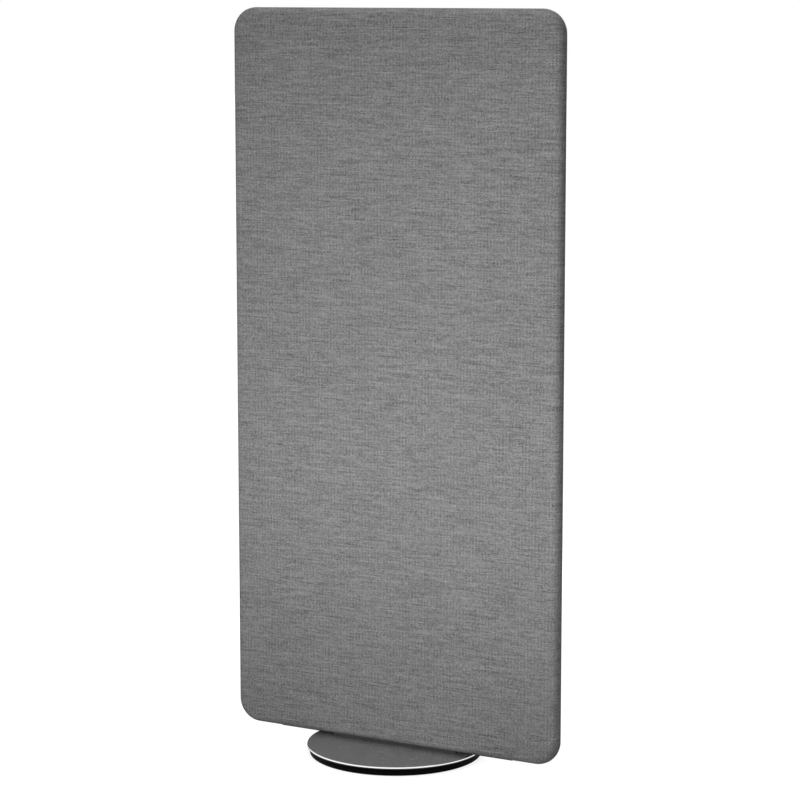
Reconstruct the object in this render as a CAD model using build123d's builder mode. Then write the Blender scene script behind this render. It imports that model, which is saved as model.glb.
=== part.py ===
from build123d import *
import math
import os

# A floor screen: a cloth-covered panel that turns on a low round base.
# Millimetres. X runs along the panel, the front faces -Y, Z is up.
# The origin is on the floor at the centre of the base.

# Panel
panel_width = 800.0
panel_height = 1600.0
panel_depth = 38.0
corner_radius = 52.0
edge_radius = 14.0
panel_gap = 1.5

# Cover and padding
cover_thickness = 1.0
wadding_thickness = 2.6
soft_gap = 0.2
seam_setback = 4.0

# Timber frame
member_width = 45.0
block_leg = 70.0
middle_rail_share = 0.62
dowel_radius = 4.0
dowel_length = 60.0
dowel_pitch = 22.0
glue_gap = 0.1
dowel_end_gap = 1.0

# Foot inside the panel
bar_length = 310.0
bar_width = 22.0
bar_thickness = 8.0
bar_corner = 4.0
tube_side = 20.0
tube_wall = 2.0
tube_corner = 2.5
tube_length = 370.0
tube_spread = 200.0
tube_seat = 35.0
mortise_gap = 0.25
pocket_end_gap = 1.0

# Base
pad_radius = 15.0
pad_height = 2.0
pad_inset = 24.0
disc_radius = 189.0
disc_height = 14.5
disc_edge = 1.2
running_gap = 1.0
island_radius = 90.0
island_drop = 1.0
plate_radius = 195.0
plate_thickness = 5.0
plate_edge = 0.6

# Ball ring
ball_radius = 2.5
ball_pitch_radius = 115.0
race_clearance = 0.08
race_gap = 2.0
ring_width = 20.0
ring_height = 9.0
ring_offset = 2.0
ring_edge = 0.5
ring_fit = 0.3
cage_thickness = 1.2
cage_rim = 1.5
pocket_clearance = 0.1

# Screws: head and shank radius, length, socket radius and depth
screw_clearance = 0.1
plate_head_radius = 6.0
plate_shank_radius = 3.0
plate_screw_length = 12.0
plate_socket_radius = 2.2
plate_socket_depth = 2.0
inner_screw_share = 0.35
outer_screw_share = 0.9
ring_head_radius = 4.0
ring_shank_radius = 2.0
ring_screw_length = 12.0
ring_socket_radius = 1.4
ring_socket_depth = 1.2
wood_head_radius = 4.5
wood_shank_radius = 2.25
wood_screw_length = 38.0
wood_socket_radius = 1.7
wood_socket_depth = 1.6
blind_hole_gap = 0.5
access_radius = 6.0

# Closing strips under the panel
strip_cap_width = 9.0
strip_cap_thickness = 1.0
strip_stem_thickness = 2.4
strip_stem_height = 14.0
strip_barb_reach = 0.4
strip_barb_pitch = 2.5
strip_end_gap = 6.0
kerf_clearance = 0.1

overrun = 1.0
full_turn = 360.0
half_turn = 180.0
quarter_turn = 90.0
ball_count = 12
pad_count = 6
ring_screw_count = 4
barb_count = 3

# Heights above the floor
disc_bottom = pad_height
disc_top = disc_bottom + disc_height
plate_bottom = disc_top + running_gap
plate_top = plate_bottom + plate_thickness
recess_floor = plate_bottom - ring_height - ring_offset
ball_level = recess_floor + (ring_height + ring_offset) / 2
bar_top = plate_top + bar_thickness
panel_bottom = plate_top + panel_gap
panel_centre = panel_bottom + panel_height / 2

# Frame inside its wrap of padding and cloth
wrap = cover_thickness + wadding_thickness + 2 * soft_gap
frame_depth = panel_depth - 2 * wrap
frame_edge = edge_radius - wrap
frame_half_width = panel_width / 2 - wrap
frame_bottom = panel_bottom + wrap
frame_top = panel_bottom + panel_height - wrap
stile_centre = frame_half_width - member_width / 2
stile_inner = frame_half_width - member_width
rail_end = frame_half_width - block_leg
stile_bottom = frame_bottom + block_leg
stile_top = frame_top - block_leg
bottom_rail_top = frame_bottom + member_width
top_rail_bottom = frame_top - member_width
tube_top = bar_top + tube_length
brace_bottom = tube_top - tube_seat
brace_top = brace_bottom + member_width
middle_rail_bottom = frame_bottom + middle_rail_share * (frame_top - frame_bottom)
middle_rail_top = middle_rail_bottom + member_width

# Radii of the ball ring
inner_ring_outer = ball_pitch_radius - race_gap / 2
inner_ring_inner = inner_ring_outer - ring_width
outer_ring_inner = ball_pitch_radius + race_gap / 2
outer_ring_outer = outer_ring_inner + ring_width
inner_screw_circle = (inner_ring_inner + inner_ring_outer) / 2
outer_screw_circle = (outer_ring_inner + outer_ring_outer) / 2
race_radius = ball_radius + race_clearance

# Screw rows along the foot bar: between the tubes, beside the tubes, and near the bar's ends
tube_centre = tube_spread / 2
inner_plate_screw_x = (inner_ring_inner - plate_head_radius) * inner_screw_share
outer_plate_screw_x = (inner_ring_inner - plate_head_radius) * outer_screw_share
end_plate_screw_x = bar_length / 2 - bar_corner - 2 * plate_shank_radius
inner_wood_screw_x = (inner_plate_screw_x + outer_plate_screw_x) / 2
outer_wood_screw_x = (tube_centre + tube_side / 2 + end_plate_screw_x) / 2


def facing_front(y, z):
    """A plane that faces the front, its origin on the panel's centre line."""
    return Plane(origin=(0, y, z), x_dir=(1, 0, 0), z_dir=(0, -1, 0))


def from_below(x, y, z):
    """A place whose tool or screw goes upwards, its head at the given height."""
    return Location((x, y, z), (half_turn, 0, 0))


def round_places(radius, count, first_angle, z, tilt):
    """Places round a circle; a tilt of a half turn makes them point upwards."""
    places = []
    for step in range(count):
        angle = math.radians(first_angle + step * full_turn / count)
        places.append(Location((radius * math.cos(angle), radius * math.sin(angle), z), (tilt, 0, 0)))
    return places


def screws(places, head_radius, shank_radius, length, socket_radius, socket_depth):
    """Countersunk screws with a six-sided socket, one at each place, in the part being built."""
    top = (Align.CENTER, Align.CENTER, Align.MAX)
    with Locations(*places):
        Cylinder(shank_radius, length, align=top)
        Cone(shank_radius, head_radius, head_radius - shank_radius, align=top)
    with BuildSketch(*[Plane(place) for place in places]) as sockets:
        RegularPolygon(socket_radius, 6)
    extrude(sockets.sketch, amount=-socket_depth, mode=Mode.SUBTRACT)


def slab(inset):
    """The panel's rounded form, drawn in all round by the inset."""
    with BuildPart() as form:
        with BuildSketch(facing_front(panel_depth / 2 - inset, panel_centre)):
            RectangleRounded(panel_width - 2 * inset, panel_height - 2 * inset, corner_radius - inset)
        extrude(amount=panel_depth - 2 * inset)
        rims = form.edges().group_by(Axis.Y)
        fillet(rims[0] + rims[-1], radius=edge_radius - inset)
    return form.part


cover_outside = slab(0)
cover_inside = slab(cover_thickness)
wadding_outside = slab(cover_thickness + soft_gap)
wadding_inside = slab(wrap - soft_gap)
frame_form = slab(wrap)

# Places that several pieces share
plate_screw_places = []
wood_screw_places = []
for side in (-1, 1):
    for x in (inner_plate_screw_x, outer_plate_screw_x, end_plate_screw_x):
        plate_screw_places.append(from_below(side * x, 0, plate_bottom))
    for x in (inner_wood_screw_x, outer_wood_screw_x):
        wood_screw_places.append(from_below(side * x, 0, plate_top))

inner_ring_screw_places = round_places(
    inner_screw_circle, ring_screw_count, quarter_turn, recess_floor + ring_offset, half_turn
)
outer_ring_screw_places = round_places(
    outer_screw_circle, ring_screw_count, 0, recess_floor + ring_height, 0
)

dowel_places = []
for side in (-1, 1):
    for across in (-dowel_pitch / 2, dowel_pitch / 2):
        for z in (stile_bottom, stile_top):
            dowel_places.append(Location((side * stile_centre + across, 0, z)))
        for z in (frame_bottom + member_width / 2, frame_top - member_width / 2):
            dowel_places.append(Location((side * rail_end, 0, z + across), (0, quarter_turn, 0)))
        for z in (brace_bottom + member_width / 2, middle_rail_bottom + member_width / 2):
            dowel_places.append(Location((side * stile_inner, 0, z + across), (0, quarter_turn, 0)))


def dowel_holes():
    """Cuts every dowel's hole out of the part being built; holes that miss it change nothing."""
    with Locations(*dowel_places):
        Cylinder(dowel_radius + glue_gap, dowel_length + 2 * dowel_end_gap, mode=Mode.SUBTRACT)


# Round base
with BuildPart() as base_disc:
    with BuildSketch(Plane.XY.offset(disc_bottom)):
        Circle(disc_radius)
    extrude(amount=disc_height)
    chamfer(base_disc.edges(), length=disc_edge)
    with BuildSketch(Plane.XY.offset(recess_floor)):
        Circle(outer_ring_outer + ring_fit)
        Circle(island_radius, mode=Mode.SUBTRACT)
    extrude(amount=disc_top - recess_floor + overrun, mode=Mode.SUBTRACT)
    with BuildSketch(Plane.XY.offset(disc_top - island_drop)):
        Circle(island_radius + overrun)
    extrude(amount=island_drop + overrun, mode=Mode.SUBTRACT)
    with Locations(*outer_ring_screw_places):
        Hole(ring_shank_radius + screw_clearance)
    with BuildSketch(Plane.XY.offset(disc_bottom - overrun)):
        with Locations((0, inner_screw_circle)):
            Circle(access_radius)
    extrude(amount=disc_height, mode=Mode.SUBTRACT)

with BuildPart() as floor_pads:
    with BuildSketch():
        with PolarLocations(disc_radius - pad_inset, pad_count):
            Circle(pad_radius)
    extrude(amount=pad_height)

with BuildPart() as turning_plate:
    with BuildSketch(Plane.XY.offset(plate_bottom)):
        Circle(plate_radius)
    extrude(amount=plate_thickness)
    chamfer(turning_plate.edges(), length=plate_edge)
    with Locations(*plate_screw_places):
        CounterSinkHole(
            plate_shank_radius + screw_clearance,
            plate_head_radius + screw_clearance,
            depth=plate_thickness + overrun,
            counter_sink_angle=quarter_turn,
        )
    with BuildSketch(Plane.XY.offset(plate_bottom)):
        with PolarLocations(inner_screw_circle, ring_screw_count, start_angle=quarter_turn):
            Circle(ring_shank_radius + screw_clearance)
    extrude(amount=ring_screw_length - ring_height + blind_hole_gap, mode=Mode.SUBTRACT)

# Ball ring
with BuildPart() as bearing_outer_ring:
    with BuildSketch(Plane.XY.offset(recess_floor)):
        Circle(outer_ring_outer)
        Circle(outer_ring_inner, mode=Mode.SUBTRACT)
    extrude(amount=ring_height)
    chamfer(bearing_outer_ring.edges(), length=ring_edge)
    with Locations((0, 0, ball_level)):
        Torus(ball_pitch_radius, race_radius, mode=Mode.SUBTRACT)
    with Locations(*outer_ring_screw_places):
        CounterSinkHole(
            ring_shank_radius + screw_clearance,
            ring_head_radius + screw_clearance,
            depth=ring_height + overrun,
            counter_sink_angle=quarter_turn,
        )

with BuildPart() as bearing_inner_ring:
    with BuildSketch(Plane.XY.offset(recess_floor + ring_offset)):
        Circle(inner_ring_outer)
        Circle(inner_ring_inner, mode=Mode.SUBTRACT)
    extrude(amount=ring_height)
    chamfer(bearing_inner_ring.edges(), length=ring_edge)
    with Locations((0, 0, ball_level)):
        Torus(ball_pitch_radius, race_radius, mode=Mode.SUBTRACT)
    with Locations(*inner_ring_screw_places):
        CounterSinkHole(
            ring_shank_radius + screw_clearance,
            ring_head_radius + screw_clearance,
            depth=ring_height + overrun,
            counter_sink_angle=quarter_turn,
        )

with BuildPart() as bearing_balls:
    with PolarLocations(ball_pitch_radius, ball_count):
        with Locations((0, 0, ball_level)):
            Sphere(ball_radius)

with BuildPart() as ball_cage:
    with BuildSketch(Plane.XY.offset(ball_level - ball_radius - cage_rim)):
        Circle(ball_pitch_radius + cage_thickness / 2)
        Circle(ball_pitch_radius - cage_thickness / 2, mode=Mode.SUBTRACT)
    extrude(amount=2 * (ball_radius + cage_rim))
    with PolarLocations(ball_pitch_radius, ball_count):
        with Locations(Location((0, 0, ball_level), (0, quarter_turn, 0))):
            Cylinder(ball_radius + pocket_clearance, cage_thickness + 2 * overrun, mode=Mode.SUBTRACT)

with BuildPart() as outer_ring_screws:
    screws(
        outer_ring_screw_places,
        ring_head_radius,
        ring_shank_radius,
        ring_screw_length,
        ring_socket_radius,
        ring_socket_depth,
    )

with BuildPart() as inner_ring_screws:
    screws(
        inner_ring_screw_places,
        ring_head_radius,
        ring_shank_radius,
        ring_screw_length,
        ring_socket_radius,
        ring_socket_depth,
    )

# Foot: a bar on the plate with two tubes that stand inside the panel
with BuildPart() as foot_bar:
    with BuildSketch(Plane.XY.offset(plate_top)):
        RectangleRounded(bar_length, bar_width, bar_corner)
    extrude(amount=bar_thickness)
    with Locations(*plate_screw_places):
        Hole(plate_shank_radius + screw_clearance)
    with Locations(*wood_screw_places):
        CounterSinkHole(
            wood_shank_radius + screw_clearance,
            wood_head_radius + screw_clearance,
            depth=bar_thickness + overrun,
            counter_sink_angle=quarter_turn,
        )


def foot_tube(side):
    """A square tube welded on the bar; its top is seated in the brace rail."""
    with BuildPart() as tube:
        with BuildSketch(Plane.XY.offset(bar_top)):
            with Locations((side * tube_centre, 0)):
                RectangleRounded(tube_side, tube_side, tube_corner)
                Rectangle(tube_side - 2 * tube_wall, tube_side - 2 * tube_wall, mode=Mode.SUBTRACT)
        extrude(amount=tube_length)
    return tube.part


with BuildPart() as plate_screws:
    screws(
        plate_screw_places,
        plate_head_radius,
        plate_shank_radius,
        plate_screw_length,
        plate_socket_radius,
        plate_socket_depth,
    )

with BuildPart() as foot_bar_screws:
    screws(
        wood_screw_places,
        wood_head_radius,
        wood_shank_radius,
        wood_screw_length,
        wood_socket_radius,
        wood_socket_depth,
    )


# Timber frame
def stile(side):
    """An upright of the frame, rounded along its outer edges."""
    with BuildPart() as member:
        with BuildSketch(Plane.XY.offset(stile_bottom)) as section:
            with Locations((side * stile_centre, 0)):
                Rectangle(member_width, frame_depth)
            fillet(section.vertices().sort_by(Axis.X)[:: -side][:2], radius=frame_edge)
        extrude(amount=stile_top - stile_bottom)
        dowel_holes()
    return member.part


def rail(half_length, bottom, rounded_side):
    """A cross member; a rounded side of 1 or -1 rounds the edges along its top or its bottom."""
    with BuildPart() as member:
        with BuildSketch(Plane.YZ.offset(-half_length)) as section:
            with Locations((0, bottom + member_width / 2)):
                Rectangle(frame_depth, member_width)
            if rounded_side:
                fillet(section.vertices().sort_by(Axis.Y)[:: -rounded_side][:2], radius=frame_edge)
        extrude(amount=2 * half_length)
        dowel_holes()
    return member.part


def corner_block(side, level):
    """The block at one corner: the frame's rounded form, cut to an L that joins a stile and a rail."""
    outer_z = frame_top if level > 0 else frame_bottom
    hollow = block_leg - member_width
    with BuildPart() as block:
        add(frame_form)
        with BuildSketch(facing_front(frame_depth / 2 + overrun, 0)):
            with Locations((side * (frame_half_width - block_leg / 2), outer_z - level * block_leg / 2)):
                Rectangle(block_leg, block_leg)
            with Locations((side * (rail_end + hollow / 2), outer_z - level * (block_leg - hollow / 2))):
                Rectangle(hollow, hollow, mode=Mode.SUBTRACT)
        extrude(amount=frame_depth + 2 * overrun, mode=Mode.INTERSECT)
        dowel_holes()
    return block.part


def tube_sockets(bottom, height):
    """Cuts the two square holes that the foot's tubes stand in out of the part being built."""
    opening = tube_side + 2 * mortise_gap
    with BuildSketch(Plane.XY.offset(bottom)) as sockets:
        with Locations((-tube_centre, 0), (tube_centre, 0)):
            Rectangle(opening, opening)
    extrude(sockets.sketch, amount=height, mode=Mode.SUBTRACT)


strip_start = bar_length / 2 + strip_end_gap
strip_stop = rail_end - dowel_length / 2 - strip_end_gap
strip_centre = (strip_start + strip_stop) / 2
stem_top = panel_bottom + strip_stem_height


def strip_slots(half_width, bottom, top):
    """Cuts the two narrow slots for the closing strips' stems out of the part being built."""
    with BuildSketch(Plane.XY.offset(bottom)) as slots:
        with Locations((-strip_centre, 0), (strip_centre, 0)):
            Rectangle(strip_stop - strip_start + 2 * kerf_clearance, 2 * half_width)
    extrude(slots.sketch, amount=top - bottom, mode=Mode.SUBTRACT)


kerf_half_width = strip_stem_thickness / 2 + strip_barb_reach + kerf_clearance

with BuildPart() as frame_bottom_rail:
    add(rail(rail_end, frame_bottom, -1))
    with BuildSketch(Plane.XY.offset(frame_bottom - overrun)):
        RectangleRounded(bar_length + 2 * mortise_gap, bar_width + 2 * mortise_gap, bar_corner)
    extrude(amount=bar_top - frame_bottom + overrun, mode=Mode.SUBTRACT)
    tube_sockets(frame_bottom - overrun, member_width + 2 * overrun)
    with Locations(*wood_screw_places):
        Cylinder(
            wood_shank_radius + screw_clearance,
            wood_screw_length + blind_hole_gap,
            align=(Align.CENTER, Align.CENTER, Align.MAX),
            mode=Mode.SUBTRACT,
        )
    strip_slots(kerf_half_width, frame_bottom - overrun, stem_top + kerf_clearance)

with BuildPart() as frame_brace_rail:
    add(rail(stile_inner, brace_bottom, 0))
    tube_sockets(brace_bottom - overrun, tube_seat + pocket_end_gap + overrun)

frame_middle_rail = rail(stile_inner, middle_rail_bottom, 0)
frame_top_rail = rail(rail_end, frame_top - member_width, 1)

with BuildPart() as frame_dowels:
    with Locations(*dowel_places):
        Cylinder(dowel_radius, dowel_length)


# Sound-absorbing slabs in the frame's bays
def absorber(bottom, top):
    """A slab that fills the frame's depth between two cross members."""
    with BuildPart() as fill:
        with BuildSketch(Plane.XY.offset(bottom + soft_gap)):
            Rectangle(2 * (stile_inner - soft_gap), frame_depth - 2 * soft_gap)
        extrude(amount=top - bottom - 2 * soft_gap)
    return fill.part


with BuildPart() as absorber_foot:
    add(absorber(bottom_rail_top, brace_bottom))
    tube_sockets(bottom_rail_top, brace_bottom - bottom_rail_top)

absorber_middle = absorber(brace_top, middle_rail_bottom)
absorber_top = absorber(middle_rail_top, top_rail_bottom)


def foot_slot(bottom, top):
    """Cuts the opening that the foot bar stands in out of the part being built."""
    with BuildSketch(Plane.XY.offset(bottom)) as opening:
        RectangleRounded(bar_length + 2 * mortise_gap, bar_width + 2 * mortise_gap, bar_corner)
    extrude(opening.sketch, amount=top - bottom, mode=Mode.SUBTRACT)


def soft_shell(outside, inside, split_y, kept):
    """One half of a soft layer round the frame, open where the foot and the closing strips pass."""
    with BuildPart() as shell:
        add(outside)
        add(inside, mode=Mode.SUBTRACT)
        split(bisect_by=Plane.XZ.offset(-split_y), keep=kept)
        foot_slot(panel_bottom - overrun, bar_top)
        strip_slots(strip_stem_thickness / 2 + kerf_clearance, panel_bottom - overrun, frame_bottom)
    return shell.part


seam_y = panel_depth / 2 - seam_setback
wadding_front = soft_shell(wadding_outside, wadding_inside, 0, Keep.TOP)
wadding_back = soft_shell(wadding_outside, wadding_inside, 0, Keep.BOTTOM)
front_cover = soft_shell(cover_outside, cover_inside, seam_y, Keep.TOP)
back_cover = soft_shell(cover_outside, cover_inside, seam_y, Keep.BOTTOM)


# Closing strips: barbed T sections that hold the cloth's lower edges in the bottom rail
def closing_strip(side):
    """A strip whose stem, with saw-tooth barbs, is pressed into the bottom rail's kerf."""
    half_stem = strip_stem_thickness / 2
    first_barb = stem_top - (barb_count + 1) * strip_barb_pitch
    points = [
        (0, panel_bottom - strip_cap_thickness),
        (strip_cap_width / 2, panel_bottom - strip_cap_thickness),
        (strip_cap_width / 2, panel_bottom),
        (half_stem, panel_bottom),
        (half_stem, first_barb),
    ]
    for step in range(barb_count):
        low = first_barb + step * strip_barb_pitch
        points.append((half_stem + strip_barb_reach, low))
        points.append((half_stem, low + strip_barb_pitch))
    points.append((0, stem_top))
    start = strip_start if side > 0 else -strip_stop
    with BuildPart() as strip:
        with BuildSketch(Plane.YZ.offset(start)):
            with BuildLine():
                Polyline(*points, close=True)
            make_face()
            mirror(about=Plane.YZ)
        extrude(amount=strip_stop - strip_start)
    return strip.part


pieces = {
    "base_disc": base_disc.part,
    "floor_pads": floor_pads.part,
    "bearing_outer_ring": bearing_outer_ring.part,
    "outer_ring_screws": outer_ring_screws.part,
    "ball_cage": ball_cage.part,
    "bearing_balls": bearing_balls.part,
    "bearing_inner_ring": bearing_inner_ring.part,
    "inner_ring_screws": inner_ring_screws.part,
    "turning_plate": turning_plate.part,
    "plate_screws": plate_screws.part,
    "foot_bar": foot_bar.part,
    "foot_tube_left": foot_tube(-1),
    "foot_tube_right": foot_tube(1),
    "foot_bar_screws": foot_bar_screws.part,
    "frame_stile_left": stile(-1),
    "frame_stile_right": stile(1),
    "frame_top_rail": frame_top_rail,
    "frame_middle_rail": frame_middle_rail,
    "frame_brace_rail": frame_brace_rail.part,
    "frame_bottom_rail": frame_bottom_rail.part,
    "corner_block_top_left": corner_block(-1, 1),
    "corner_block_top_right": corner_block(1, 1),
    "corner_block_bottom_left": corner_block(-1, -1),
    "corner_block_bottom_right": corner_block(1, -1),
    "frame_dowels": frame_dowels.part,
    "absorber_top": absorber_top,
    "absorber_middle": absorber_middle,
    "absorber_foot": absorber_foot.part,
    "wadding_front": wadding_front,
    "wadding_back": wadding_back,
    "front_cover": front_cover,
    "back_cover": back_cover,
    "closing_strip_left": closing_strip(-1),
    "closing_strip_right": closing_strip(1),
}

os.makedirs("parts", exist_ok=True)
for name, piece in pieces.items():
    piece.label = name
    export_step(piece, f"parts/{name}.step")
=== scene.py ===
import math

import bmesh
import bpy
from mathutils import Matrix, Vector


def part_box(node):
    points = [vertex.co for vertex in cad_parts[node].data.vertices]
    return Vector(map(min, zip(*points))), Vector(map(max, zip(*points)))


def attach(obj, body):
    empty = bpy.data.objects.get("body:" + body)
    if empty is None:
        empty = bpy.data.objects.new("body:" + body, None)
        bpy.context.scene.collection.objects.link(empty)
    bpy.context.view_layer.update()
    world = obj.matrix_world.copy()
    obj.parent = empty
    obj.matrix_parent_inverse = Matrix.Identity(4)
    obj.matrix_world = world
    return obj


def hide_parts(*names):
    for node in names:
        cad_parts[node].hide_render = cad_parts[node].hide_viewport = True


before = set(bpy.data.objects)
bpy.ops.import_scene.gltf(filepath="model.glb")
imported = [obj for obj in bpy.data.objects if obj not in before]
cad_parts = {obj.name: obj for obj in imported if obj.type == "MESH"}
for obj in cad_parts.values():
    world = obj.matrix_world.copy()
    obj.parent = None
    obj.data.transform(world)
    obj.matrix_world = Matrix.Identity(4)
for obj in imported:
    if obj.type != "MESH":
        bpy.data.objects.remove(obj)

bl_info = {
    "name": "Fabric partition screen",
    "version": (1, 0, 0),
    "blender": (4, 5, 0),
    "location": "3D View > Sidebar > Screen",
    "description": "Dresses a turning floor screen: cloth covers, padding, metal and timber finishes",
    "category": "Object",
}

# Sizes read from the frame, in metres. The front faces -Y.
COVER_LOW, COVER_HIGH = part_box("front_cover")
PANEL_WIDTH = COVER_HIGH.x - COVER_LOW.x
PANEL_HEIGHT = COVER_HIGH.z - COVER_LOW.z
PANEL_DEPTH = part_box("back_cover")[1].y - COVER_LOW.y
PANEL_CENTRE = (COVER_LOW.z + COVER_HIGH.z) / 2
SEAM_Y = COVER_HIGH.y
PADDING_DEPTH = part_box("frame_stile_left")[0].y - COVER_LOW.y

# The panel's corners and edges, as the solid model has them
CORNER_RADIUS = 0.052
EDGE_RADIUS = 0.014
FLAT_CORNER = CORNER_RADIUS - EDGE_RADIUS
CORE_X = PANEL_WIDTH / 2 - CORNER_RADIUS
CORE_Z = PANEL_HEIGHT / 2 - CORNER_RADIUS
STRAIGHT_DEPTH = PANEL_DEPTH / 2 - EDGE_RADIUS

# Gaps between the soft pieces, and play round what passes through them
CLEARANCE = 0.0001
OPENING_REACH = 0.01
FOOT_PLAY = Vector((0.00025, 0.00025, OPENING_REACH))
HALF_STRIP_SLOT = 0.0014

# How the soft pieces are made
WELD_DISTANCE = 0.00001
SMOOTH_ANGLE = math.radians(35)
SWELL_FRAMES = 20
SEAM_ROWS = (0.3, 0.65, 1.0)
ARRIS_WIDTH = 0.002

# The cloth's threads; one unit of its UV map is UV_SPAN metres of flat cloth
UV_SPAN = 2.0
THREADS_IN_RIB = 4
RIB_PATCH_WIDTH = 0.03
RIB_PATCH_HEIGHT = 0.02
WEAVE_RELIEF = 0.0004

# How far apart the noise of two neighbouring threads is taken, so that each has its own tone
THREAD_STEP = 5.37
THREAD_SIDE_STEP = 0.83

# The plate's bright rim, measured inwards from its edge, and the black band of painted shade along its lower
# edge, measured up from below
RIM_START = 0.0012
RIM_FULL = 0.0007
PAINTED_SHADE_TOP = 0.0021
PAINTED_SHADE_END = 0.0023
RING_RELIEF = 0.00002

# The studio
FLOOR_SIZE = 60
SENSOR_WIDTH = 36
CLIP_END = 200
WHITE = (1, 1, 1, 1)

# The Mix node's two inputs and its output, which are told apart by number only
MIX_SOCKETS = {"FLOAT": (2, 3, 0), "RGBA": (6, 7, 2)}


class ClothSettings(bpy.types.PropertyGroup):
    """The woven cover."""

    thickness: bpy.props.FloatProperty(
        name="Thickness",
        description="Thickness of the cloth",
        default=0.001,
        unit="LENGTH",
    )
    crown: bpy.props.FloatProperty(
        name="Crown",
        description="The most that the padding lifts the cloth",
        default=0.0011,
        unit="LENGTH",
    )
    seam_depth: bpy.props.FloatProperty(
        name="Seam depth",
        description="How far the sewn edge turns in",
        default=0.0007,
        unit="LENGTH",
    )
    seam_reach: bpy.props.FloatProperty(
        name="Seam reach",
        description="Width of the turn beside the seam",
        default=0.0024,
        unit="LENGTH",
    )
    rib_pitch: bpy.props.FloatProperty(
        name="Rib pitch",
        description="Width of an upright rib of four threads",
        default=0.0078,
        unit="LENGTH",
    )
    weft_pitch: bpy.props.FloatProperty(
        name="Weft pitch",
        description="Distance between two level threads",
        default=0.002,
        unit="LENGTH",
    )
    slub_length: bpy.props.FloatProperty(
        name="Slub length",
        description="Length over which a level thread changes its tone; an upright one takes a third",
        default=0.06,
        unit="LENGTH",
    )
    weft_contrast: bpy.props.FloatProperty(
        name="Weft contrast",
        description="How far the level threads differ in tone",
        default=1.28,
        subtype="FACTOR",
    )
    warp_contrast: bpy.props.FloatProperty(
        name="Warp contrast",
        description="How far the upright threads differ in tone",
        default=0.36,
        subtype="FACTOR",
    )
    lump_contrast: bpy.props.FloatProperty(
        name="Lump contrast",
        description="How uneven the tone is from crossing to crossing",
        default=0.47,
        subtype="FACTOR",
    )
    rib_contrast: bpy.props.FloatProperty(
        name="Rib contrast",
        description="How far the upright threads of a rib differ in tone",
        default=0.1,
        subtype="FACTOR",
    )
    weave_contrast: bpy.props.FloatProperty(
        name="Weave contrast",
        description="How far warp and weft differ in tone",
        default=0.04,
        subtype="FACTOR",
    )
    dark_yarn: bpy.props.FloatVectorProperty(
        name="Dark yarn",
        description="Colour of the darkest yarn",
        default=(0.085, 0.085, 0.086),
        subtype="COLOR",
    )
    light_yarn: bpy.props.FloatVectorProperty(
        name="Light yarn",
        description="Colour of the palest yarn",
        default=(0.37, 0.37, 0.372),
        subtype="COLOR",
    )


class BaseSettings(bpy.types.PropertyGroup):
    """The round base."""

    plate_colour: bpy.props.FloatVectorProperty(
        name="Plate",
        description="Colour of the satin plate",
        default=(0.69, 0.69, 0.7),
        subtype="COLOR",
    )
    rim_colour: bpy.props.FloatVectorProperty(
        name="Rim",
        description="Colour of the bright turned rim",
        default=(0.92, 0.92, 0.93),
        subtype="COLOR",
    )
    # The disc's colour is also used as painted shade on the plate's lower edge
    disc_colour: bpy.props.FloatVectorProperty(
        name="Disc",
        description="Colour of the powder coat on the disc and under the plate",
        default=(0.0035, 0.0035, 0.0037),
        subtype="COLOR",
    )


class StageSettings(bpy.types.PropertyGroup):
    """Camera and studio."""

    camera_place: bpy.props.FloatVectorProperty(
        name="Camera",
        description="Place of the camera",
        default=(2.8134, -5.0020, 1.6739),
        subtype="TRANSLATION",
    )
    camera_turn: bpy.props.FloatProperty(
        name="Turn",
        description="How far the camera looks to the left",
        default=0.5107,
        subtype="ANGLE",
    )
    camera_dip: bpy.props.FloatProperty(
        name="Dip",
        description="How far the camera looks down",
        default=0.1536,
        subtype="ANGLE",
    )
    lens: bpy.props.FloatProperty(
        name="Lens",
        description="Focal length in millimetres",
        default=120.96,
        unit="CAMERA",
    )
    ambient: bpy.props.FloatProperty(
        name="Ambient",
        description="Strength of the even light from all round",
        default=0.17,
        subtype="FACTOR",
    )
    key_power: bpy.props.FloatProperty(
        name="Key",
        description="Power of the lower soft light",
        default=6.8,
        unit="POWER",
    )
    fill_power: bpy.props.FloatProperty(
        name="Fill",
        description="Power of the upper soft light",
        default=7.2,
        unit="POWER",
    )
    top_power: bpy.props.FloatProperty(
        name="Top",
        description="Power of the soft light above the screen",
        default=16.0,
        unit="POWER",
    )
    back_power: bpy.props.FloatProperty(
        name="Back",
        description="Power of the soft light behind the screen",
        default=42.0,
        unit="POWER",
    )


# Helpers for modelling
def select_only(obj):
    """Makes one object the selected and active one."""
    bpy.ops.object.select_all(action="DESELECT")
    obj.select_set(True)
    bpy.context.view_layer.objects.active = obj


def new_piece(name):
    """Names the primitive that was just added and applies its place, turn and size."""
    piece = bpy.context.active_object
    piece.name = name
    piece.data.name = name
    bpy.ops.object.transform_apply(location=True, rotation=True, scale=True)
    return piece


def add_box(name, low, high):
    """A plain block that fills the space between two corners."""
    bpy.ops.object.select_all(action="DESELECT")
    bpy.ops.mesh.primitive_cube_add(size=1, location=(low + high) / 2, scale=high - low)
    return new_piece(name)


def pick_rim(obj):
    """In edit mode, selects only the open edges round a surface."""
    bpy.ops.mesh.select_mode(type="EDGE")
    bpy.ops.mesh.select_all(action="DESELECT")
    mesh = bmesh.from_edit_mesh(obj.data)
    for edge in mesh.edges:
        if edge.is_boundary:
            edge.select_set(True)
    bmesh.update_edit_mesh(obj.data)


def apply_modifier(obj, name, kind, **settings):
    """Adds a modifier with these settings and applies it."""
    select_only(obj)
    modifier = obj.modifiers.new(name, kind)
    for key, value in settings.items():
        setattr(modifier, key, value)
    bpy.ops.object.modifier_apply(modifier=modifier.name)


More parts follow.
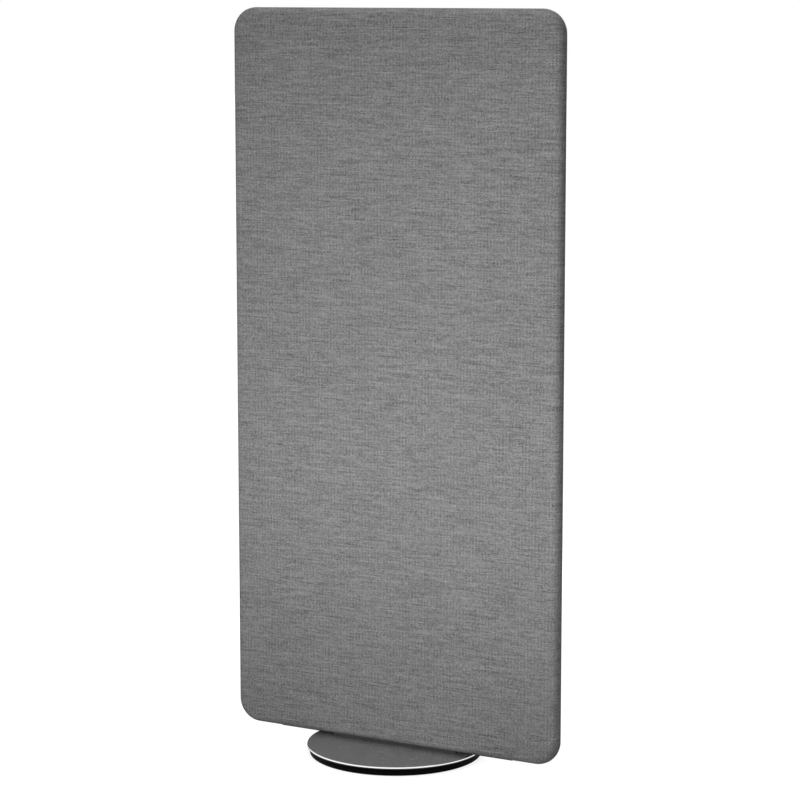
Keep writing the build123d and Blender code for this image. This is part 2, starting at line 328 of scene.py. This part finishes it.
def face_outwards(obj):
    """Merges doubles and turns every face outwards."""
    select_only(obj)
    bpy.ops.object.mode_set(mode="EDIT")
    bpy.ops.mesh.select_all(action="SELECT")
    bpy.ops.mesh.remove_doubles(threshold=WELD_DISTANCE)
    bpy.ops.mesh.normals_make_consistent(inside=False)
    bpy.ops.object.mode_set(mode="OBJECT")


def opening_round(node):
    """The box that a piece of the foot needs, to stand freely in cloth and padding."""
    low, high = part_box(node)
    return low - FOOT_PLAY, high + FOOT_PLAY


def slot_round(node):
    """The slot in the cloth through which a closing strip reaches the frame."""
    low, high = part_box(node)
    return (
        Vector((low.x - CLEARANCE, -HALF_STRIP_SLOT, low.z - OPENING_REACH)),
        Vector((high.x + CLEARANCE, HALF_STRIP_SLOT, high.z)),
    )


def cut_away(obj, openings):
    """Cuts boxes out of a piece; each opening is the box's low and high corner."""
    for low, high in openings:
        cutter = add_box("cutter", low, high)
        apply_modifier(obj, "Opening", "BOOLEAN", operation="DIFFERENCE", solver="EXACT", object=cutter)
        bpy.data.objects.remove(cutter)


def settle(obj, body, replaced, material):
    """Gives a finished piece its material, and places it in the frame."""
    obj.data.materials.clear()
    obj.data.materials.append(material)
    select_only(obj)
    bpy.ops.object.shade_smooth_by_angle(angle=SMOOTH_ANGLE)
    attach(obj, body)
    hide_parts(replaced)


# The panel's rounded form
def core_point(x, z):
    """The nearest point of the panel's core, round which its corners are turned."""
    return Vector((max(-CORE_X, min(CORE_X, x)), max(-CORE_Z, min(CORE_Z, z))))


def grid_line(share, core, cells, corner_cells):
    """Place of a grid line: small even steps in the corners and larger ones between them."""
    line = round(share * cells)
    if line <= corner_cells:
        return -core - FLAT_CORNER * (1 - line / corner_cells)
    if line >= cells - corner_cells:
        return core + FLAT_CORNER * (1 - (cells - line) / corner_cells)
    return core * (2 * (line - corner_cells) / (cells - 2 * corner_cells) - 1)


def flat_face(name, cell, corner_cells):
    """The panel's flat face, with its rounded corners, as a grid of four-sided faces."""
    across = 2 * corner_cells + round(2 * CORE_X / cell)
    up = 2 * corner_cells + round(2 * CORE_Z / cell)
    bpy.ops.object.select_all(action="DESELECT")
    bpy.ops.mesh.primitive_grid_add(
        x_subdivisions=across,
        y_subdivisions=up,
        size=1,
        rotation=(math.radians(90), 0, 0),
        calc_uvs=False,
    )
    face = new_piece(name)
    for vertex in face.data.vertices:
        x = grid_line(vertex.co.x + 0.5, CORE_X, across, corner_cells)
        z = grid_line(vertex.co.z + 0.5, CORE_Z, up, corner_cells)
        out_x = max(abs(x) - CORE_X, 0) / FLAT_CORNER
        out_z = max(abs(z) - CORE_Z, 0) / FLAT_CORNER
        if out_x and out_z:
            x = math.copysign(CORE_X + FLAT_CORNER * out_x * math.sqrt(1 - out_z**2 / 2), x)
            z = math.copysign(CORE_Z + FLAT_CORNER * out_z * math.sqrt(1 - out_x**2 / 2), z)
        vertex.co = (x, -PANEL_DEPTH / 2, z)
    return face


def panel_form(name, cell, corner_cells, edge_steps):
    """The panel's rounded slab as one closed skin of four-sided faces."""
    form = flat_face(name, cell, corner_cells)
    profile = []
    for step in range(1, edge_steps + 1):
        turn = math.radians(90) * step / edge_steps
        profile.append((EDGE_RADIUS * math.sin(turn), -STRAIGHT_DEPTH - EDGE_RADIUS * math.cos(turn)))
    profile.append((EDGE_RADIUS, 0))

    bpy.ops.object.mode_set(mode="EDIT")
    pick_rim(form)
    for reach, y in profile:
        bpy.ops.mesh.extrude_region_move()
        mesh = bmesh.from_edit_mesh(form.data)
        for vertex in mesh.verts:
            if vertex.select:
                core = core_point(vertex.co.x, vertex.co.z)
                outwards = (Vector((vertex.co.x, vertex.co.z)) - core).normalized()
                place = core + outwards * (FLAT_CORNER + reach)
                vertex.co = (place.x, y, place.y)
        bmesh.update_edit_mesh(form.data)
    bpy.ops.object.mode_set(mode="OBJECT")

    apply_modifier(form, "Back", "MIRROR", use_axis=(False, True, False), merge_threshold=WELD_DISTANCE)
    face_outwards(form)
    return form


def swell(form, crown):
    """Lets the padding push the cloth out: pressure, held along the middle of the panel's edge."""
    held = form.vertex_groups.new(name="held")
    held.add([v.index for v in form.data.vertices if abs(v.co.y) < STRAIGHT_DEPTH / 2], 1.0, "REPLACE")
    rest = [vertex.co.copy() for vertex in form.data.vertices]
    cloth = form.modifiers.new("Cloth", "CLOTH")
    cloth.settings.quality = 4
    cloth.settings.mass = 0.3
    cloth.settings.tension_stiffness = 20
    cloth.settings.compression_stiffness = 20
    cloth.settings.use_pressure = True
    cloth.settings.uniform_pressure_force = 4
    cloth.settings.effector_weights.gravity = 0
    cloth.settings.vertex_group_mass = held.name
    cloth.collision_settings.use_collision = False
    for number in range(1, SWELL_FRAMES + 1):
        bpy.context.scene.frame_set(number)
    shaped = form.evaluated_get(bpy.context.evaluated_depsgraph_get()).data
    moved = [vertex.co.copy() for vertex in shaped.vertices]
    form.modifiers.remove(cloth)
    bpy.context.scene.frame_set(1)
    for vertex, start, end in zip(form.data.vertices, rest, moved):
        move = end - start
        vertex.co = start + move * (crown / (crown + move.length))
    form.vertex_groups.remove(held)


def keep_side(form, name, y, front):
    """Copies one side of the panel's skin, cut along a plane across its depth."""
    select_only(form)
    bpy.ops.object.duplicate()
    half = bpy.context.active_object
    half.name = name
    half.data.name = name
    bpy.ops.object.mode_set(mode="EDIT")
    bpy.ops.mesh.select_all(action="SELECT")
    bpy.ops.mesh.bisect(plane_co=(0, y, 0), plane_no=(0, 1, 0), clear_outer=front, clear_inner=not front)
    bpy.ops.object.mode_set(mode="OBJECT")
    return half


def turn_in_seam(half, side, depth, reach):
    """Rolls the sewn edge of a cover inwards, on finer rows of faces beside the seam."""
    select_only(half)
    bpy.ops.object.mode_set(mode="EDIT")
    for share in SEAM_ROWS:
        bpy.ops.mesh.select_all(action="SELECT")
        bpy.ops.mesh.bisect(plane_co=(0, SEAM_Y - side * reach * share, 0), plane_no=(0, 1, 0))
    bpy.ops.object.mode_set(mode="OBJECT")
    normals = [vertex.normal.copy() for vertex in half.data.vertices]
    for vertex, normal in zip(half.data.vertices, normals):
        nearness = 1 - abs(vertex.co.y - SEAM_Y) / reach
        if nearness > 0:
            vertex.co -= normal * depth * nearness**2


def flat_place(point, side):
    """Where a point of the cover lies on the flat cloth, before it goes round the panel's edge."""
    own = point.y * side
    core = core_point(point.x, point.z)
    out = Vector((point.x, point.z)) - core
    reach = out.length - FLAT_CORNER
    if reach <= 0:
        return Vector((point.x, point.z))
    if own < -STRAIGHT_DEPTH:
        run = EDGE_RADIUS * math.atan2(reach, -own - STRAIGHT_DEPTH)
    else:
        run = EDGE_RADIUS * math.pi / 2 + own + STRAIGHT_DEPTH
        if own > STRAIGHT_DEPTH:
            run += EDGE_RADIUS * math.atan2(own - STRAIGHT_DEPTH, reach) - (own - STRAIGHT_DEPTH)
    return core + out.normalized() * (FLAT_CORNER + run)


def lay_cloth(obj, side):
    """A UV map that follows the threads of the flat cloth."""
    layer = obj.data.uv_layers.new(name="Threads")
    places = [flat_place(vertex.co, side) for vertex in obj.data.vertices]
    for loop in obj.data.loops:
        place = places[loop.vertex_index]
        layer.data[loop.index].uv = (0.5 + place.x * side / -UV_SPAN, 0.5 + place.y / UV_SPAN)


def shift_up(obj):
    """Lifts a form from the middle of the panel to its height above the floor."""
    for vertex in obj.data.vertices:
        vertex.co.z += PANEL_CENTRE


# Materials
class Finish:
    """A node material that is built up in steps; its plain values stand in where nodes aren't read."""

    def __init__(self, name, colour, roughness, metallic=0.0, **sockets):
        self.material = bpy.data.materials.new(name)
        self.material.use_nodes = True
        self.tree = self.material.node_tree
        self.shader = self.tree.nodes["Principled BSDF"]
        self.shader.inputs["Base Color"].default_value = (*colour, 1)
        self.shader.inputs["Roughness"].default_value = roughness
        self.shader.inputs["Metallic"].default_value = metallic
        for socket, value in sockets.items():
            self.shader.inputs[socket.replace("_", " ")].default_value = value

    def node(self, kind, inputs, **settings):
        """Adds a node; an input is a value or another node's output."""
        made = self.tree.nodes.new("ShaderNode" + kind)
        for key, value in settings.items():
            setattr(made, key, value)
        for key, value in inputs.items():
            if isinstance(value, bpy.types.NodeSocket):
                self.tree.links.new(value, made.inputs[key])
            else:
                made.inputs[key].default_value = value
        return made

    def coordinates(self, scale=(1, 1, 1), source="Object"):
        """The object's own coordinates in metres, or its UV map, stretched by the scale."""
        place = self.node("TexCoord", {}).outputs[source]
        return self.node("Mapping", {"Vector": place, "Scale": scale}).outputs["Vector"]

    def split(self, vector):
        """The X, Y and Z of a vector."""
        parts = self.node("SeparateXYZ", {"Vector": vector}).outputs
        return parts["X"], parts["Y"], parts["Z"]

    def join(self, **parts):
        """A vector with these parts."""
        return self.node("CombineXYZ", parts).outputs["Vector"]

    def noise(self, vector, scale=1.0, detail=2.0, roughness=0.5):
        """Soft random values about a half."""
        inputs = {"Vector": vector, "Scale": scale, "Detail": detail, "Roughness": roughness}
        return self.node("TexNoise", inputs).outputs["Fac"]

    def maths(self, operation, *values):
        """One step of arithmetic."""
        made = self.node("Math", dict(enumerate(values)), operation=operation)
        return made.outputs["Value"]

    def spread(self, value, low, high, to_low=0.0, to_high=1.0):
        """Maps a range of values onto another, without going past its ends."""
        inputs = {"Value": value, "From Min": low, "From Max": high, "To Min": to_low, "To Max": to_high}
        return self.node("MapRange", inputs).outputs["Result"]

    def mix(self, share, first, second, kind="FLOAT"):
        """A number, or with another kind a colour, between two others."""
        first_input, second_input, output = MIX_SOCKETS[kind]
        inputs = {"Factor": share, first_input: first, second_input: second}
        return self.node("Mix", inputs, data_type=kind).outputs[output]

    def blend(self, share, *colours):
        """A colour between two colours."""
        ends = [end if isinstance(end, bpy.types.NodeSocket) else (*end, 1) for end in colours]
        return self.mix(share, *ends, kind="RGBA")

    def drive(self, socket, value):
        """Lets a node's output set one of the shader's sockets."""
        self.tree.links.new(value, self.shader.inputs[socket])

    def emboss(self, height, distance, strength):
        """Raises the surface by a height in shares of the distance."""
        inputs = {"Height": height, "Distance": distance, "Strength": strength}
        self.drive("Normal", self.node("Bump", inputs).outputs["Normal"])


def thread_tone(finish, along, number, length):
    """Uneven yarn: each thread has its own tone, which changes slowly along it."""
    vector = finish.join(
        X=finish.maths("DIVIDE", along, length),
        Y=finish.maths("MULTIPLY", number, THREAD_STEP),
        Z=finish.maths("MULTIPLY", number, THREAD_SIDE_STEP),
    )
    return finish.noise(vector, detail=3.0, roughness=0.7)


def weave(finish, across, rise, warp_shown):
    """Height of a plain weave whose threads are one unit apart."""
    bulges = []
    for place in (across, rise):
        middle = finish.maths("SUBTRACT", finish.maths("FRACT", place), 0.5)
        bulges.append(finish.maths("COSINE", finish.maths("MULTIPLY", middle, math.pi)))
    sign = finish.maths("MULTIPLY_ADD", warp_shown, -2.0, 1.0)
    warp = finish.maths("MULTIPLY_ADD", finish.maths("MULTIPLY", sign, bulges[1]), 0.5, bulges[0])
    weft = finish.maths("MULTIPLY_ADD", finish.maths("MULTIPLY", sign, bulges[0]), -0.5, bulges[1])
    return finish.maths("MAXIMUM", warp, weft)


def rib_tone(finish, across):
    """Upright ribs, which show only in patches of the cloth."""
    ribs = finish.maths("COSINE", finish.maths("MULTIPLY", across, math.tau / THREADS_IN_RIB))
    place = finish.coordinates((UV_SPAN / RIB_PATCH_WIDTH, UV_SPAN / RIB_PATCH_HEIGHT, 1), "UV")
    return finish.maths("MULTIPLY", ribs, finish.spread(finish.noise(place, detail=1.0), 0.4, 0.62))


def cloth_finish(settings):
    """Mottled grey cloth: uneven level weft over ribs of upright threads."""
    finish = Finish(
        "mottled_cloth",
        settings.light_yarn,
        roughness=0.92,
        Specular_IOR_Level=0.08,
        Sheen_Weight=0.03,
        Sheen_Roughness=0.5,
    )
    warp_pitch = settings.rib_pitch / THREADS_IN_RIB
    weft_pitch = settings.weft_pitch
    place = finish.coordinates((UV_SPAN / warp_pitch, UV_SPAN / weft_pitch, 1), "UV")
    across, rise = finish.split(place)[:2]
    column = finish.maths("FLOOR", across)
    row = finish.maths("FLOOR", rise)
    warp_shown = finish.maths("FLOORED_MODULO", finish.maths("ADD", column, row), 2.0)

    warp_slub_length = settings.slub_length / 3
    weft = thread_tone(finish, across, row, settings.slub_length / warp_pitch)
    warp = thread_tone(finish, rise, column, warp_slub_length / weft_pitch)
    lumps = finish.node("TexWhiteNoise", {"Vector": finish.join(X=column, Y=row)}).outputs["Value"]
    tone = 0.5
    for part, middle, contrast in (
        (weft, 0.5, settings.weft_contrast),
        (warp, 0.5, settings.warp_contrast),
        (lumps, 0.5, settings.lump_contrast),
        (rib_tone(finish, across), 0.0, settings.rib_contrast),
        (warp_shown, 0.5, settings.weave_contrast),
    ):
        tone = finish.maths("MULTIPLY_ADD", finish.maths("SUBTRACT", part, middle), contrast, tone)
    share = finish.spread(tone, 0.0, 1.0)
    finish.drive("Base Color", finish.blend(share, settings.dark_yarn, settings.light_yarn))
    relief = weave(finish, across, rise, warp_shown)
    finish.emboss(finish.maths("ADD", weft, relief), WEAVE_RELIEF, strength=0.6)
    return finish.material


def plain_finish(name, colour, roughness, grain_scale, grain_depth, **sockets):
    """A finish whose only detail is a fine grain and slightly uneven gloss."""
    finish = Finish(name, colour, roughness, **sockets)
    place = finish.coordinates()
    grain = finish.noise(place, grain_scale, detail=3.0, roughness=0.6)
    patches = finish.noise(place, grain_scale / 40)
    dark = [part * 0.85 for part in colour]
    pale = [min(part * 1.12, 1) for part in colour]
    gloss = finish.spread(patches, 0.3, 0.7, to_low=roughness - 0.06, to_high=roughness + 0.06)
    finish.drive("Roughness", gloss)
    finish.drive("Base Color", finish.blend(finish.spread(grain, 0.3, 0.7), dark, pale))
    finish.emboss(grain, grain_depth, strength=0.5)
    return finish.material


def turn_on_lathe(finish, pitch):
    """Cuts fine rings round the upright axis; gives each place's radius, height and ring."""
    x, y, height = finish.split(finish.coordinates())
    squares = [finish.maths("POWER", part, 2.0) for part in (x, y)]
    radius = finish.maths("SQRT", finish.maths("ADD", *squares))
    rings = finish.noise(finish.join(X=finish.maths("DIVIDE", radius, pitch)))
    finish.emboss(rings, RING_RELIEF, strength=0.4)
    return radius, height, rings


def aluminium_finish():
    """Aluminium as it comes from the lathe."""
    roughness = 0.32
    finish = Finish("turned_aluminium", (0.6, 0.6, 0.62), roughness, metallic=1.0)
    rings = turn_on_lathe(finish, pitch=0.0006)[2]
    gloss = finish.spread(rings, 0.3, 0.7, to_low=roughness - 0.07, to_high=roughness + 0.07)
    finish.drive("Roughness", gloss)
    return finish.material


def plate_finish(settings):
    """Satin plate with fine turned rings and a bright rim; its lower edge is painted black in the disc's
    colour, as painted shade.
    """
    finish = Finish("satin_plate", settings.plate_colour, roughness=0.34, metallic=1.0)
    radius, height, rings = turn_on_lathe(finish, pitch=0.0009)
    low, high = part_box("turning_plate")
    rim = finish.spread(radius, high.x - RIM_START, high.x - RIM_FULL)
    # Painted shade: below this height the plate's edge is drawn in the disc's black, not metallic and
    # rougher
    clear_of_painted_shade = finish.spread(height, low.z + PAINTED_SHADE_TOP, low.z + PAINTED_SHADE_END)
    metal = finish.blend(rim, settings.plate_colour, settings.rim_colour)
    finish.drive("Base Color", finish.blend(clear_of_painted_shade, settings.disc_colour, metal))
    finish.drive("Metallic", clear_of_painted_shade)
    patches = finish.noise(finish.coordinates(), 45.0)
    uneven = finish.spread(patches, 0.35, 0.65, to_low=0.19, to_high=0.25)
    satin = finish.maths("MULTIPLY_ADD", rings, 0.04, uneven)
    gloss = finish.mix(rim, satin, 0.16)
    finish.drive("Roughness", finish.mix(clear_of_painted_shade, 0.55, gloss))
    return finish.material


def wood_finish(name, pale, dark, along, ring_pitch):
    """Planed wood: year rings that run along one axis, with fine pores."""
    finish = Finish(name, pale, roughness=0.62)
    stretch = [0.04 if axis == along else 1.0 for axis in "XYZ"]
    place = finish.coordinates(stretch)
    bend = finish.noise(place, 14.0)
    shift = finish.join(**{axis: finish.maths("MULTIPLY", bend, 0.02) for axis in "XYZ"})
    warped = finish.node("VectorMath", {0: place, 1: shift}, operation="ADD").outputs["Vector"]
    waves = {
        "Vector": warped,
        "Scale": 1 / ring_pitch / math.tau * 2,
        "Distortion": 2.5,
        "Detail": 2.0,
        "Detail Scale": 1.5,
    }
    rings = finish.node("TexWave", waves, wave_type="RINGS", rings_direction=along).outputs["Fac"]
    pores = finish.noise(place, 1500.0, detail=1.0)
    ringed = finish.blend(finish.spread(rings, 0.1, 0.95), pale, dark)
    pored = finish.blend(finish.spread(pores, 0.45, 0.8, to_high=0.35), ringed, dark)
    finish.drive("Base Color", pored)
    finish.emboss(pores, 0.0001, strength=0.5)
    return finish.material


def fibre_finish(name, pale, dark, scale):
    """Matted fibres without a direction, as in felt and mineral wool."""
    finish = Finish(name, pale, roughness=0.95, Specular_IOR_Level=0.2, Sheen_Weight=0.1)
    place = finish.coordinates()
    fibres = finish.noise(place, scale, detail=5.0, roughness=0.7)
    tufts = finish.noise(place, scale / 12)
    tone = finish.maths("MULTIPLY_ADD", tufts, 0.5, fibres)
    finish.drive("Base Color", finish.blend(finish.spread(tone, 0.5, 1.0), dark, pale))
    finish.emboss(fibres, 0.0012, strength=0.7)
    return finish.material


def floor_finish():
    """White floor that keeps a faint shadow near the screen and shows pure white further out; its glow is
    weaker near the screen, which paints a faint shade round the base.
    """
    finish = Finish("white_floor", (0.3, 0.3, 0.3), roughness=0.9, Emission_Color=WHITE)
    rays = finish.node("LightPath", {}).outputs
    seen = finish.maths("MAXIMUM", rays["Is Camera Ray"], rays["Is Glossy Ray"])
    distance = finish.node("VectorMath", {0: finish.coordinates()}, operation="LENGTH").outputs["Value"]
    # Painted shade: the floor glows less near the screen than further out
    glow_with_painted_shade = finish.spread(distance, 0.4, 2.5, to_low=0.82)
    finish.drive("Emission Strength", finish.maths("MULTIPLY", seen, glow_with_painted_shade))
    return finish.material


def dress(material, *nodes):
    """Gives carried-over nodes a material."""
    for name in nodes:
        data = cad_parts[name].data
        data.materials.clear()
        data.materials.append(material)


# Light
def light_the_room(ambient):
    """Even light from all round, which is plain white where it is seen."""
    world = bpy.data.worlds.new("studio")
    world.use_nodes = True
    tree = world.node_tree
    rays = tree.nodes.new("ShaderNodeLightPath").outputs
    seen = rays["Is Camera Ray"]
    for ray in ("Is Glossy Ray", "Is Transmission Ray"):
        either = tree.nodes.new("ShaderNodeMath")
        either.operation = "MAXIMUM"
        tree.links.new(seen, either.inputs[0])
        tree.links.new(rays[ray], either.inputs[1])
        seen = either.outputs["Value"]
    strength = tree.nodes.new("ShaderNodeMapRange")
    strength.inputs["To Min"].default_value = ambient
    strength.inputs["To Max"].default_value = 1.0
    background = tree.nodes["Background"].inputs
    background["Color"].default_value = WHITE
    tree.links.new(seen, strength.inputs["Value"])
    tree.links.new(strength.outputs["Result"], background["Strength"])
    bpy.context.scene.world = world


def soft_light(name, place, target, sides, power):
    """A flat soft light that points at a target and isn't seen itself, nor mirrored in metal."""
    turn = (Vector(place) - Vector(target)).to_track_quat("Z", "Y").to_euler()
    bpy.ops.object.light_add(type="AREA", location=place, rotation=turn)
    light = bpy.context.active_object
    light.name = name
    light.data.shape = "RECTANGLE"
    light.data.size, light.data.size_y = sides
    light.data.energy = power
    light.visible_camera = False
    light.visible_glossy = False


# The makers, one for each group of pieces
class SCREEN_OT_covers(bpy.types.Operator):
    """Makes the two cloth covers and their seam"""

    bl_idname = "screen.covers"
    bl_label = "Cloth covers"
    bl_options = {"REGISTER", "UNDO"}

    def execute(self, context):
        settings = context.scene.screen_cloth
        form = panel_form("panel_form", cell=0.009, corner_cells=5, edge_steps=6)
        swell(form, settings.crown)
        material = cloth_finish(settings)
        openings = [opening_round("foot_bar")]
        for strip in ("closing_strip_left", "closing_strip_right"):
            openings.append(slot_round(strip))
        for name, node, side in (("front_cloth", "front_cover", 1), ("back_cloth", "back_cover", -1)):
            front = side == 1
            half = keep_side(form, name, SEAM_Y, front)
            turn_in_seam(half, side, settings.seam_depth, settings.seam_reach)
            lay_cloth(half, side)
            shift_up(half)
            apply_modifier(half, "Cloth thickness", "SOLIDIFY", thickness=settings.thickness, offset=-1.0)
            if front:
                cut_away(half, openings)
            settle(half, "screen", node, material)
        bpy.data.objects.remove(form)
        return {"FINISHED"}


class SCREEN_OT_padding(bpy.types.Operator):
    """Makes the wadding under the cloth and the sound-absorbing slabs"""

    bl_idname = "screen.padding"
    bl_label = "Wadding and absorbers"
    bl_options = {"REGISTER", "UNDO"}

    def execute(self, context):
        settings = context.scene.screen_cloth
        fleece = fibre_finish("polyester_fleece", (0.86, 0.86, 0.85), (0.62, 0.62, 0.61), scale=900.0)
        wool = fibre_finish("mineral_wool", (0.62, 0.58, 0.44), (0.36, 0.33, 0.24), scale=420.0)
        form = panel_form("wadding_form", cell=0.02, corner_cells=3, edge_steps=4)
        drop = settings.thickness + settings.seam_depth + CLEARANCE
        for vertex, normal in [(v, v.normal.copy()) for v in form.data.vertices]:
            vertex.co -= normal * drop
        thickness = PADDING_DEPTH - drop - 2 * CLEARANCE
        for name, node, front in (
            ("fleece_front", "wadding_front", True),
            ("fleece_back", "wadding_back", False),
        ):
            half = keep_side(form, name, 0, front)
            shift_up(half)
            apply_modifier(half, "Fleece", "SOLIDIFY", thickness=thickness, offset=-1.0)
            cut_away(half, [opening_round("foot_bar")])
            settle(half, "screen", node, fleece)
        bpy.data.objects.remove(form)

        for name, node, tubes in (
            ("wool_slab_top", "absorber_top", ()),
            ("wool_slab_middle", "absorber_middle", ()),
            ("wool_slab_foot", "absorber_foot", ("foot_tube_left", "foot_tube_right")),
        ):
            slab = add_box(name, *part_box(node))
            apply_modifier(slab, "Soft arrises", "BEVEL", width=ARRIS_WIDTH, segments=3)
            cut_away(slab, [opening_round(tube) for tube in tubes])
            settle(slab, "screen", node, wool)
        return {"FINISHED"}


class SCREEN_OT_base(bpy.types.Operator):
    """Finishes the round base, its pads and the ball ring"""

    bl_idname = "screen.base"
    bl_label = "Base and ball ring"
    bl_options = {"REGISTER", "UNDO"}

    def execute(self, context):
        settings = context.scene.screen_base
        coat = plain_finish(
            "powder_coat",
            settings.disc_colour,
            roughness=0.55,
            grain_scale=2600.0,
            grain_depth=0.00004,
            Specular_IOR_Level=0.02,
        )
        rubber = plain_finish(
            "pad_rubber", (0.02, 0.02, 0.02), roughness=0.85, grain_scale=1800.0, grain_depth=0.00005
        )
        nylon = plain_finish(
            "moulded_nylon", (0.7, 0.69, 0.65), roughness=0.45, grain_scale=900.0, grain_depth=0.00003
        )
        steel = plain_finish(
            "ball_steel",
            (0.6, 0.6, 0.6),
            roughness=0.1,
            grain_scale=300.0,
            grain_depth=0.000002,
            metallic=1.0,
        )
        dress(plate_finish(settings), "turning_plate")
        dress(coat, "base_disc")
        dress(rubber, "floor_pads")
        dress(aluminium_finish(), "bearing_outer_ring", "bearing_inner_ring")
        dress(nylon, "ball_cage")
        dress(steel, "bearing_balls")
        return {"FINISHED"}


class SCREEN_OT_frame(bpy.types.Operator):
    """Finishes the timber frame, its dowels, the steel foot, the screws and the closing strips"""

    bl_idname = "screen.frame"
    bl_label = "Frame and foot"
    bl_options = {"REGISTER", "UNDO"}

    def execute(self, context):
        pale = (0.66, 0.47, 0.28)
        dark = (0.46, 0.27, 0.13)
        upright = wood_finish("pine_upright", pale, dark, along="Z", ring_pitch=0.004)
        level = wood_finish("pine_level", pale, dark, along="X", ring_pitch=0.004)
        beech = wood_finish("beech", (0.62, 0.42, 0.26), (0.5, 0.3, 0.17), along="Z", ring_pitch=0.002)
        lacquer = plain_finish(
            "black_lacquer", (0.02, 0.02, 0.02), roughness=0.42, grain_scale=1500.0, grain_depth=0.00003
        )
        zinc = plain_finish(
            "zinc_plate",
            (0.55, 0.56, 0.58),
            roughness=0.3,
            grain_scale=1200.0,
            grain_depth=0.00001,
            metallic=1.0,
        )
        plastic = plain_finish(
            "extruded_plastic", (0.015, 0.015, 0.015), roughness=0.4, grain_scale=1500.0, grain_depth=0.00002
        )
        dress(upright, "frame_stile_left", "frame_stile_right")
        dress(upright, "corner_block_top_left", "corner_block_top_right")
        dress(upright, "corner_block_bottom_left", "corner_block_bottom_right")
        dress(level, "frame_top_rail", "frame_middle_rail", "frame_brace_rail", "frame_bottom_rail")
        dress(beech, "frame_dowels")
        dress(lacquer, "foot_bar", "foot_tube_left", "foot_tube_right")
        dress(zinc, "plate_screws", "foot_bar_screws", "inner_ring_screws", "outer_ring_screws")
        dress(plastic, "closing_strip_left", "closing_strip_right")
        return {"FINISHED"}


class SCREEN_OT_stage(bpy.types.Operator):
    """Sets the floor, the light and the camera"""

    bl_idname = "screen.stage"
    bl_label = "Stage"
    bl_options = {"REGISTER", "UNDO"}

    def execute(self, context):
        settings = context.scene.screen_stage
        bpy.ops.object.select_all(action="DESELECT")
        bpy.ops.mesh.primitive_plane_add(size=FLOOR_SIZE)
        floor = new_piece("floor")
        floor.data.materials.append(floor_finish())

        light_the_room(settings.ambient)
        soft_light(
            "soft_key",
            place=(0.13, -0.75, 0.57),
            target=(0.13, 0, 0.5),
            sides=(1.9, 0.2),
            power=settings.key_power,
        )
        soft_light(
            "soft_fill",
            place=(0.38, -0.8, 1.41),
            target=(0.38, 0, 1.01),
            sides=(2.2, 0.2),
            power=settings.fill_power,
        )
        soft_light(
            "soft_top",
            place=(0.1, -0.2, 3.0),
            target=(0.1, -0.15, 0),
            sides=(1, 1),
            power=settings.top_power,
        )
        soft_light(
            "soft_back",
            place=(-0.5, 1.9, 1.3),
            target=(0, 0, 0.8),
            sides=(1.6, 1.6),
            power=settings.back_power,
        )

        bpy.ops.object.camera_add(
            location=settings.camera_place,
            rotation=(math.radians(90) - settings.camera_dip, 0, settings.camera_turn),
        )
        camera = context.active_object
        camera.name = "camera"
        camera.data.sensor_width = SENSOR_WIDTH
        camera.data.lens = settings.lens
        camera.data.clip_end = CLIP_END
        context.scene.camera = camera
        context.scene.view_settings.view_transform = "Standard"
        return {"FINISHED"}


class SCREEN_PT_sidebar(bpy.types.Panel):
    """Lists the screen's settings and makers"""

    bl_idname = "SCREEN_PT_sidebar"
    bl_label = "Partition screen"
    bl_space_type = "VIEW_3D"
    bl_region_type = "UI"
    bl_category = "Screen"

    def draw(self, context):
        layout = self.layout
        for group in (context.scene.screen_cloth, context.scene.screen_base, context.scene.screen_stage):
            box = layout.box()
            for name in group.bl_rna.properties.keys():
                if name not in ("rna_type", "name"):
                    box.prop(group, name)
        for maker in MAKERS:
            layout.operator(maker.bl_idname)


MAKERS = (SCREEN_OT_covers, SCREEN_OT_padding, SCREEN_OT_base, SCREEN_OT_frame, SCREEN_OT_stage)
CLASSES = (ClothSettings, BaseSettings, StageSettings, *MAKERS, SCREEN_PT_sidebar)


def register():
    for made_class in CLASSES:
        bpy.utils.register_class(made_class)
    bpy.types.Scene.screen_cloth = bpy.props.PointerProperty(type=ClothSettings)
    bpy.types.Scene.screen_base = bpy.props.PointerProperty(type=BaseSettings)
    bpy.types.Scene.screen_stage = bpy.props.PointerProperty(type=StageSettings)


def unregister():
    del bpy.types.Scene.screen_stage
    del bpy.types.Scene.screen_base
    del bpy.types.Scene.screen_cloth
    for made_class in reversed(CLASSES):
        bpy.utils.unregister_class(made_class)


def main():
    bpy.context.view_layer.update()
    register()
    bpy.ops.screen.covers()
    bpy.ops.screen.padding()
    bpy.ops.screen.base()
    bpy.ops.screen.frame()
    bpy.ops.screen.stage()


if __name__ == "__main__":
    main()
